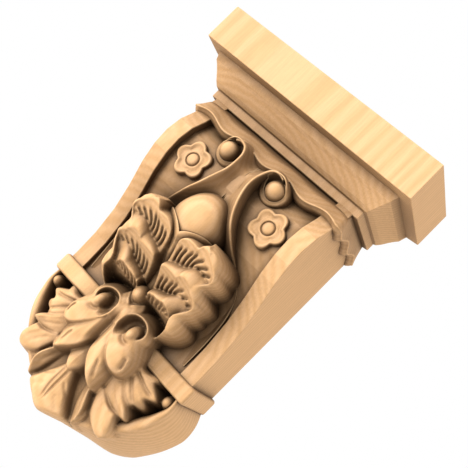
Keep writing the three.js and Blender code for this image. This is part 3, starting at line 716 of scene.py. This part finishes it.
def draw_cup_leaves(relief):
    """The leaves that grow out of the cup behind the acanthus, and the ball in its corner."""
    # The bed that the leaves lie on
    relief.form(
        [(-10, 250), (10, 240), (30, 238), (42, 238), (50, 242), (50.5, 252), (48, 260), (50, 266),
         (47, 274), (48, 284), (40, 286), (30, 290), (24, 296), (0, 300), (-10, 300)],
        [(0, 250, 56), (30, 244, 54), (46, 244, 50.5), (46, 262, 51), (44, 272, 51.4), (46, 284, 49.6),
         (30, 282, 52), (24, 292, 49.6), (14, 270, 54), (0, 290, 54)],
        rim=3, fall=3)
    # The double leaf under the strap
    relief.form(
        [(34, 234.6), (42, 233.4), (46, 231.4), (50, 230.2), (53, 231.4), (52.4, 233.6), (50.8, 235.4),
         (56, 238.8), (59.6, 241.3), (60.4, 243.4), (57.6, 245.3), (54.4, 247), (54.2, 248.2),
         (56.6, 249.8), (58.3, 252), (57.6, 254.3), (54, 255.7), (50.4, 256.4), (49.4, 258.8), (44, 257),
         (36, 250), (30, 243)],
        [(34, 236, 57.5), (44, 235, 55.5), (52, 232, 50.6), (44, 242, 57), (52, 241, 54.4), (60, 243, 51.2),
         (45, 249, 57.4), (53, 251.5, 54), (58, 253, 48.6), (32, 243, 58)],
        rim=1.8, fall=2.4,
        marks=[([(33, 236.4), (42, 239.5), (50, 242), (56, 243)], 1.8, 1.2),
               ([(34, 241), (40, 246.4), (45, 251), (50, 255.4)], 1.4, 1.2),
               ([(38, 236.8), (46, 236), (51, 233)], -0.5, 1.2),
               ([(40, 242), (48, 247), (56, 252.6)], -0.5, 1.4)])
    # The leaf below it
    relief.form(
        [(26, 250), (30, 246.6), (35, 247.4), (41, 252.8), (48, 258.8), (52.2, 262.8), (54.3, 266.8),
         (50, 268.4), (46, 268.6), (40, 268), (33, 265), (27, 262)],
        [(30, 250, 58.6), (36, 253.4, 58.4), (42, 258, 58.2), (48, 262.6, 57.6), (54, 266.6, 56),
         (40, 264.5, 56.6), (47, 267, 55.6), (30, 259, 57.6), (44, 256, 55.8)],
        rim=1.8, fall=2.6,
        marks=[([(33, 250.4), (40, 256), (47, 261.6), (53, 266)], -0.7, 1.1),
               ([(30, 255), (38, 261), (46, 265.6)], 0.5, 1.0)])
    # The broad leaf in the cup's lower corner
    relief.form(
        [(24, 264), (28, 261.8), (33, 264.6), (40, 267.8), (46.6, 268.2), (48.6, 271), (50.8, 276),
         (52.6, 281), (52, 285.6), (49.4, 288.6), (45, 289.3), (40, 287.8), (35, 285.2), (31, 281.8),
         (28.6, 277), (26, 271)],
        [(29, 266, 57.6), (34, 272, 58), (40, 270, 58.2), (45, 275, 57.8), (49, 281, 56), (51, 286, 53.4),
         (40, 280, 56.8), (45, 286, 54.4), (32, 279, 56.4), (36, 284, 54.8)],
        rim=2.6, fall=3.2,
        marks=[([(40, 268), (44.5, 274), (48, 280), (49.6, 285)], -0.6, 1.5),
               ([(31, 268), (37, 275), (43, 283)], 0.5, 1.4)])
    # The slim leaf beside the tongue
    relief.form(
        [(10, 262), (13, 269), (15, 276), (17.4, 283), (20.4, 290.4), (24, 297.4), (26.6, 297.4),
         (28.2, 293), (28.8, 287), (27.8, 281.4), (25.6, 276.4), (22.4, 270.6), (18, 263)],
        [(16, 266, 57.6), (20, 274, 58.6), (24, 282, 58.2), (26.6, 289, 56.2), (26, 296, 53.2),
         (15, 272, 55), (19, 284, 54.6), (22.4, 292, 52.4)],
        rim=1.8, fall=2.6,
        marks=[([(21.6, 271), (25.4, 277.4), (27.6, 284), (27.8, 290)], -0.6, 0.9),
               ([(17, 270), (21, 279), (24, 288)], 0.4, 1.2)])
    # The bud between the broad leaf and the slim one
    relief.form(
        [(26, 273), (28, 279), (31, 283.4), (31.2, 288), (29.6, 293), (27, 297.2), (26, 292), (27.4, 284)],
        [(27, 275, 56), (30, 284, 54.6), (30, 291, 53), (27, 296, 51.8), (27, 286, 55)],
        rim=1.4)
    # The tongue in the middle, with a keel and veins
    x, drop = relief.x, relief.drop
    axis = np.interp(drop, (262, 274, 286, 294, 300, 305, 309), (62.5, 63.2, 63.4, 62.2, 60.4, 58.8, 57.6))
    widths = (5, 6.8, 10, 14.8, 19.4, 21, 18, 11, 3)
    half = np.interp(drop, (262, 268, 276, 285, 293, 298, 302, 306, 309), widths)
    across = np.clip(x / half, 0, 1.4)
    relief.form(
        [(-8, 262), (5, 262), (7.4, 269), (10.4, 276.4), (15, 285.4), (19.8, 293), (22, 297), (20.6, 300.4),
         (16, 302.6), (10, 305.2), (5.4, 307.6), (0, 308.6), (-8, 306.6), (-8, 280)],
        axis - 3.8 * across**2 - 2 * across**4,
        rim=4.5, fall=5.5,
        marks=[([(1.9, 270), (1.9, 280), (1.7, 290), (1, 299)], 1.1, 1.0),
               ([(0, 270), (0, 282), (0, 292)], -0.5, 1.1),
               ([(5, 279.4), (8.6, 282.6), (12.6, 286)], 0.9, 0.9),
               ([(6, 290), (10, 294), (14.5, 299)], 0.6, 1.5),
               ([(9, 281), (13, 289), (17.4, 297)], -0.5, 1.6)])
    relief.dome(65, 238, wide=4.8, tall=5.2, top=52.2, base=43)


def carve_relief(sizes):
    """The whole front below the acorn, drawn as one relief."""
    base = 24.0
    relief = Relief(RELIEF_EDGE, sizes.relief_step)
    draw_side_leaves(relief, sizes.flute_depth)
    draw_cup_leaves(relief)
    draw_acanthus(relief)
    draw_brow(relief)
    draw_volutes(relief, sizes.volute_depth)
    relief.soften(2)
    relief.out = np.minimum(relief.out, LEAF_REACH)
    solid("relief", relief.rings(base))


def join_block(sizes):
    """Joins every form into the one block that the bracket is carved from."""
    body = solids[0]
    collection = bpy.data.collections[WORKSHOP]
    collection.objects.unlink(body)
    bpy.context.scene.collection.objects.link(body)
    union = body.modifiers.new("union", "BOOLEAN")
    union.operation = "UNION"
    union.operand_type = "COLLECTION"
    union.collection = collection
    union.solver = "MANIFOLD"
    joined = bpy.data.meshes.new_from_object(body.evaluated_get(bpy.context.evaluated_depsgraph_get()))
    if not joined.polygons:
        raise RuntimeError("The forms of the block didn't join")
    body.modifiers.clear()
    body.data = joined
    body.name = "bracket_carving"
    for other in solids[1:]:
        bpy.data.objects.remove(other)
    solids.clear()
    bpy.data.collections.remove(collection)
    mark_edges(joined, sizes.sharp_angle)
    return body


def mark_edges(mesh, angle):
    """Keeps an edge crisp where the block's faces meet at more than an angle, and the carving
    only where it turns right back."""
    turned_back = math.radians(80)
    mesh.validate()
    shape = bmesh.new()
    shape.from_mesh(mesh)
    for edge in shape.edges:
        carved = all(face.smooth for face in edge.link_faces)
        edge.smooth = edge.calc_face_angle(0) < (turned_back if carved else angle)
    shape.to_mesh(mesh)
    shape.free()


def linear(code):
    """An sRGB hex colour as linear red, green, blue and alpha."""
    channels = [int(code[i:i + 2], 16) / 255 for i in (1, 3, 5)]
    return [c / 12.92 if c <= 0.04045 else ((c + 0.055) / 1.055) ** 2.4 for c in channels] + [1.0]


def add_node(tree, kind, settings=(), links=()):
    """Adds a node, sets its values and sockets by name or number, and links its inputs."""
    node = tree.nodes.new(kind)
    for name, value in dict(settings).items():
        if isinstance(name, str) and hasattr(node, name):
            setattr(node, name, value)
        else:
            node.inputs[name].default_value = value
    for name, source in dict(links).items():
        tree.links.new(source, node.inputs[name])
    return node


def oiled_limewood(finish):
    """Limewood, carved with gouges and rubbed with oil: a close, even grain and a soft sheen.
    Shade is painted dark into the hollows and the creases, which makes every leaf stand out, and
    rubbing has made the edges a little paler."""
    growth_ring, fibre, pore, dent = 3.4, 1.3, 0.9, 0.25
    # How far the painted shade looks for what hems a surface in, broadly and in the creases, and how far the
    # worn edges reach, in mm
    painted_shade_reach, painted_crease_reach, edge_reach = 120.0, 22.0, 1.1
    material = bpy.data.materials.new("oiled_limewood")
    material.use_nodes = True
    tree = material.node_tree
    tree.nodes.clear()
    place = add_node(tree, "ShaderNodeTexCoord").outputs["Object"]
    # The grain runs down the bracket, so every pattern is drawn out along its height
    along = add_node(tree, "ShaderNodeVectorMath", {"operation": "MULTIPLY", 1: (1.0, 1.0, 0.06)}, {0: place})
    # The heart of the tree lay behind the wall, so the rings cut the top in wide arcs
    heart = add_node(tree, "ShaderNodeVectorMath", {"operation": "ADD", 1: (0.03, -0.13, 0.0)},
                     {0: along.outputs["Vector"]})
    rings = add_node(tree, "ShaderNodeTexWave", {
        "wave_type": "RINGS", "rings_direction": "Z", "Scale": math.tau / (20 * growth_ring * MM),
        "Distortion": 2.4, "Detail": 2.0, "Detail Scale": 1.2}, {"Vector": heart.outputs["Vector"]})
    fibres = add_node(tree, "ShaderNodeTexNoise", {
        "Scale": 1 / (fibre * MM), "Detail": 2.0, "Roughness": 0.6}, {"Vector": along.outputs["Vector"]})
    # Pores are a tenth of this in the real wood, and are drawn as coarse as they need to show
    pores = add_node(tree, "ShaderNodeTexNoise", {
        "Scale": 1 / (pore * MM), "Detail": 4.0, "Roughness": 0.7}, {"Vector": place})
    # Two occlusion lookups paint shade into the hollows and the creases, and a third finds the edges that
    # rubbing wears pale
    hollow = add_node(tree, "ShaderNodeAmbientOcclusion", {"samples": 8, "Distance": painted_shade_reach * MM})
    painted_crease_shade = add_node(tree, "ShaderNodeAmbientOcclusion", {"samples": 6, "Distance": painted_crease_reach * MM})
    rim = add_node(tree, "ShaderNodeAmbientOcclusion", {
        "samples": 6, "Distance": edge_reach * MM, "inside": True, "only_local": True})
    # Each pattern's range, from low to high, and what its two ends stand for in the finish
    ranges = {
        "early": (rings.outputs["Fac"], 0.0, 1.0, 1.0, 0.15),
        "speckled": (pores.outputs["Fac"], 0.25, 0.75, 0.95, 1.03),
        "streaked": (fibres.outputs["Fac"], 0.3, 0.7, 0.92, 1.04),
        "crease_shaded": (painted_crease_shade.outputs["AO"], 0.45, 0.97, 0.42, 1.0),
        "worn": (rim.outputs["AO"], 0.45, 0.9, finish.edge_wear, 0.0),
        "rough": (pores.outputs["Fac"], 0.3, 0.7, 0.46, 0.58),
    }
    share = {}
    for name, (source, low, high, start, end) in ranges.items():
        ends = {"From Min": low, "From Max": high, "To Min": start, "To Max": end}
        share[name] = add_node(tree, "ShaderNodeMapRange", ends, {"Value": source}).outputs["Result"]
    tone = add_node(tree, "ShaderNodeMix", {
        "data_type": "RGBA", 6: linear(finish.late_wood), 7: linear(finish.wood)}, {0: share["early"]})
    figure = add_node(tree, "ShaderNodeMath", {"operation": "MULTIPLY"},
                      {0: share["speckled"], 1: share["streaked"]})
    bare = add_node(tree, "ShaderNodeMix", {"data_type": "RGBA", "blend_type": "MULTIPLY", 0: 1.0},
                    {6: tone.outputs[2], 7: figure.outputs[0]})
    # The painted shade: the broad and the crease occlusion darken the wood towards the painted shade colour
    settled = add_node(tree, "ShaderNodeMath", {"operation": "POWER", 1: finish.painted_shade_depth},
                       {0: hollow.outputs["AO"]})
    unshaded_share = add_node(tree, "ShaderNodeMath", {"operation": "MULTIPLY"},
                     {0: settled.outputs[0], 1: share["crease_shaded"]})
    # Even the darkest painted shade lets a little of the wood through
    seen = add_node(tree, "ShaderNodeMapRange", {"To Min": 0.07, "To Max": 1.0}, {"Value": unshaded_share.outputs[0]})
    painted_shade_mix = add_node(tree, "ShaderNodeMix", {"data_type": "RGBA", 6: linear(finish.painted_shade)},
                       {0: seen.outputs["Result"], 7: bare.outputs[2]})
    colour = add_node(tree, "ShaderNodeMix", {"data_type": "RGBA", 7: linear(finish.worn)},
                      {0: share["worn"], 6: painted_shade_mix.outputs[2]})
    dents = add_node(tree, "ShaderNodeBump", {"Strength": 0.12, "Distance": dent * MM},
                     {"Height": pores.outputs["Fac"]})
    shader = add_node(tree, "ShaderNodeBsdfPrincipled", {"IOR": 1.45, "Specular IOR Level": 0.15}, {
        "Base Color": colour.outputs[2], "Roughness": share["rough"], "Normal": dents.outputs["Normal"]})
    add_node(tree, "ShaderNodeOutputMaterial", links={"Surface": shader.outputs["BSDF"]})
    return material


class BracketSizes(bpy.types.PropertyGroup):
    """Sizes of the carving that a maker would change."""

    edge_round: bpy.props.FloatProperty(
        name="Edge", description="Width of the flat on the block's long edges, in mm",
        default=0.45, min=0.1, max=2)
    fillet_reach: bpy.props.FloatProperty(
        name="Fillet", description="How far the fillet stands out from the body, in mm",
        default=4.8, min=1, max=12)
    skirt_wave: bpy.props.FloatProperty(
        name="Skirt wave", description="Half the height of the skirt's waves, in mm",
        default=2.2, min=0, max=6)
    skirt_wave_length: bpy.props.FloatProperty(
        name="Skirt wave length", description="Length of one wave of the skirt, in mm",
        default=40, min=15, max=80)
    panel_depth: bpy.props.FloatProperty(
        name="Panel depth", description="How far the panel is sunk at the shoulder, in mm",
        default=7.4, min=1, max=20)
    cup_depth: bpy.props.FloatProperty(
        name="Cup depth", description="Depth of the cup's hollow, in mm", default=17, min=4, max=30)
    ribbon_edge: bpy.props.FloatProperty(
        name="Ribbon edge", description="Half the thickness of a ribbon's rim, in mm",
        default=0.85, min=0.3, max=3)
    petal_depth: bpy.props.FloatProperty(
        name="Petal depth", description="How deeply the flower is lobed, as a share",
        default=0.14, min=0, max=0.4,
        subtype="FACTOR")
    relief_step: bpy.props.FloatProperty(
        name="Relief step", description="How finely the leaves are cut, in mm", default=0.6, min=0.4, max=2)
    flute_depth: bpy.props.FloatProperty(
        name="Flute depth", description="Depth of the leaves' flutes, in mm", default=3.0, min=0.2, max=4)
    volute_depth: bpy.props.FloatProperty(
        name="Volute depth", description="Depth of the volutes' hollow, in mm", default=7.0, min=2, max=20)
    sharp_angle: bpy.props.FloatProperty(
        name="Crisp angle", description="Faces that meet at more than this keep a crisp edge",
        default=math.radians(38), subtype="ANGLE")


class BracketFinish(bpy.types.PropertyGroup):
    """Colours of the bracket's finish."""

    wood: bpy.props.StringProperty(
        name="Wood", description="Colour of the early wood, as sRGB hex", default="#DCAF80")
    late_wood: bpy.props.StringProperty(
        name="Late wood", description="Colour of the late wood, as sRGB hex", default="#D0A270")
    # The colour of the shade painted into the hollows and creases
    painted_shade: bpy.props.StringProperty(
        name="Painted shade", description="Colour of the stain in the hollows, as sRGB hex", default="#2A1B10")
    worn: bpy.props.StringProperty(
        name="Worn edge", description="Colour of the rubbed edges, as sRGB hex", default="#EFCB9C")
    # How strongly the painted shade darkens with occlusion
    painted_shade_depth: bpy.props.FloatProperty(
        name="Painted shade depth", description="How strongly the stain follows the hollows",
        default=1.9, min=0, max=4)
    edge_wear: bpy.props.FloatProperty(
        name="Edge wear", description="How far the edges are rubbed pale", default=0.35, min=0, max=1,
        subtype="FACTOR")


class BracketStudio(bpy.types.PropertyGroup):
    """The studio round the bracket."""

    floor: bpy.props.StringProperty(
        name="Floor", description="Colour of the floor, as sRGB hex", default="#F2F0EC")
    floor_drop: bpy.props.FloatProperty(
        name="Floor drop", description="How far the floor lies below the bracket", default=1.2, unit="LENGTH")


class BRACKET_OT_workshop(bpy.types.Operator):
    """Opens an empty workshop for the forms of the block"""

    bl_idname = "bracket.workshop"
    bl_label = "Open workshop"

    def execute(self, context):
        collection = bpy.data.collections.new(WORKSHOP)
        context.scene.collection.children.link(collection)
        return {"FINISHED"}


class BRACKET_OT_block(bpy.types.Operator):
    """Shapes the body, the cap, the skirt, the strap and the cup"""

    bl_idname = "bracket.block"
    bl_label = "Shape the block"

    def execute(self, context):
        sizes = context.scene.bracket_sizes
        carve_body(sizes)
        carve_cap(sizes)
        carve_skirt(sizes)
        carve_strap()
        carve_cup(sizes)
        return {"FINISHED"}


class BRACKET_OT_ribbons(bpy.types.Operator):
    """Carves the ribbons, the web between them, their curls and the two flowers"""

    bl_idname = "bracket.ribbons"
    bl_label = "Carve ribbons and flowers"

    def execute(self, context):
        sizes = context.scene.bracket_sizes
        carve_ribbons(sizes)
        carve_web()
        carve_curls()
        carve_flowers(sizes)
        return {"FINISHED"}


class BRACKET_OT_acorn(bpy.types.Operator):
    """Carves the acorn and its cup"""

    bl_idname = "bracket.acorn"
    bl_label = "Carve acorn"

    def execute(self, context):
        carve_acorn()
        carve_calyx()
        return {"FINISHED"}


class BRACKET_OT_leaves(bpy.types.Operator):
    """Carves the side leaves, the acanthus with its volutes and the leaves in the cup"""

    bl_idname = "bracket.leaves"
    bl_label = "Carve leaves"

    def execute(self, context):
        carve_relief(context.scene.bracket_sizes)
        return {"FINISHED"}


class BRACKET_OT_finish(bpy.types.Operator):
    """Joins the block and finishes it as oiled wood"""

    bl_idname = "bracket.finish"
    bl_label = "Join and finish"

    def execute(self, context):
        carving = join_block(context.scene.bracket_sizes)
        carving.data.materials.clear()
        carving.data.materials.append(oiled_limewood(context.scene.bracket_finish))
        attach(carving, "root")
        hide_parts(NODE)
        return {"FINISHED"}


class BRACKET_OT_studio(bpy.types.Operator):
    """Sets the pale floor, the soft light and the camera"""

    bl_idname = "bracket.studio"
    bl_label = "Set the studio"

    def execute(self, context):
        scene = context.scene
        scene.view_settings.view_transform = "Standard"
        lay_floor(scene.bracket_studio)
        light_studio(scene)
        place_camera(scene)
        return {"FINISHED"}


def lay_floor(studio):
    """A plain pale floor well below the bracket, which hangs on a wall."""
    half, drop = 2.2, LOW.z - studio.floor_drop
    corners = [(x * half, y * half, drop) for x, y in ((-1, -1), (1, -1), (1, 1), (-1, 1))]
    mesh = bpy.data.meshes.new("floor")
    mesh.from_pydata(corners, [], [(0, 1, 2, 3)])
    floor = bpy.data.objects.new("floor", mesh)
    bpy.context.scene.collection.objects.link(floor)
    material = bpy.data.materials.new("matt_painted_floor")
    material.use_nodes = True
    shader = material.node_tree.nodes["Principled BSDF"]
    shader.inputs["Base Color"].default_value = linear(studio.floor)
    shader.inputs["Roughness"].default_value = 0.9
    mesh.materials.append(material)


# Each lamp as its strength, its width across the sky, its azimuth and its elevation in degrees
LAMPS = {
    "key": (3.5, 34, -35, 4),
    "high_key": (2.7, 60, -55, 40),
    "fill": (1.9, 60, 112, 24),
}


def light_studio(scene):
    """A white surround that lights less than it shows, a broad soft key from the front left,
    and a fill from the right."""
    surround_light = 0.4
    world = bpy.data.worlds.new("white_surround")
    world.use_nodes = True
    tree = world.node_tree
    tree.nodes.clear()
    seen = add_node(tree, "ShaderNodeLightPath").outputs["Is Camera Ray"]
    strength = add_node(tree, "ShaderNodeMapRange", {"To Min": surround_light, "To Max": 1.0},
                        {"Value": seen})
    white = add_node(tree, "ShaderNodeBackground", {"Color": (1, 1, 1, 1)},
                     {"Strength": strength.outputs["Result"]})
    add_node(tree, "ShaderNodeOutputWorld", links={"Surface": white.outputs["Background"]})
    scene.world = world
    for name, (energy, width, azimuth, elevation) in LAMPS.items():
        light = bpy.data.lights.new(name, "SUN")
        light.energy = energy
        light.angle = math.radians(width)
        lamp = bpy.data.objects.new(name, light)
        turn, rise = math.radians(azimuth), math.radians(elevation)
        toward = Vector((math.sin(turn) * math.cos(rise), -math.cos(turn) * math.cos(rise), math.sin(rise)))
        lamp.rotation_euler = toward.to_track_quat("Z", "Y").to_euler()
        scene.collection.objects.link(lamp)


def place_camera(scene):
    """The photograph's view: from the right and level, rolled so that the cap is high. It was
    fitted to the cap's straight edges."""
    turned, place = (95.543, -44.986, 20.534), (258.817, -594.616, -6.575)
    data = bpy.data.cameras.new("camera")
    data.lens = 64.0
    data.sensor_width = 36.0
    camera = bpy.data.objects.new("camera", data)
    camera.rotation_euler = [math.radians(angle) for angle in turned]
    camera.location = Vector(place) * MM
    scene.collection.objects.link(camera)
    scene.camera = camera


class BRACKET_PT_panel(bpy.types.Panel):
    """Lists the steps and the sizes in the sidebar."""

    bl_idname = "BRACKET_PT_panel"
    bl_label = "Carved Bracket"
    bl_space_type = "VIEW_3D"
    bl_region_type = "UI"
    bl_category = "Bracket"

    def draw(self, context):
        for step in STEPS:
            self.layout.operator(step.bl_idname)
        for name in GROUPS:
            group = getattr(context.scene, name)
            for value in group.__annotations__:
                self.layout.prop(group, value)


GROUPS = {"bracket_sizes": BracketSizes, "bracket_finish": BracketFinish, "bracket_studio": BracketStudio}
STEPS = (
    BRACKET_OT_workshop, BRACKET_OT_block, BRACKET_OT_ribbons, BRACKET_OT_acorn, BRACKET_OT_leaves,
    BRACKET_OT_finish, BRACKET_OT_studio,
)


def register():
    for group in GROUPS.values():
        bpy.utils.register_class(group)
    for name, group in GROUPS.items():
        setattr(bpy.types.Scene, name, bpy.props.PointerProperty(type=group))
    for kind in (*STEPS, BRACKET_PT_panel):
        bpy.utils.register_class(kind)


def unregister():
    for kind in reversed((*STEPS, BRACKET_PT_panel)):
        bpy.utils.unregister_class(kind)
    for name in GROUPS:
        delattr(bpy.types.Scene, name)
    for group in reversed(list(GROUPS.values())):
        bpy.utils.unregister_class(group)


def main():
    register()
    bpy.ops.bracket.workshop()
    bpy.ops.bracket.block()
    bpy.ops.bracket.ribbons()
    bpy.ops.bracket.acorn()
    bpy.ops.bracket.leaves()
    bpy.ops.bracket.finish()
    bpy.ops.bracket.studio()


if __name__ == "__main__":
    main()
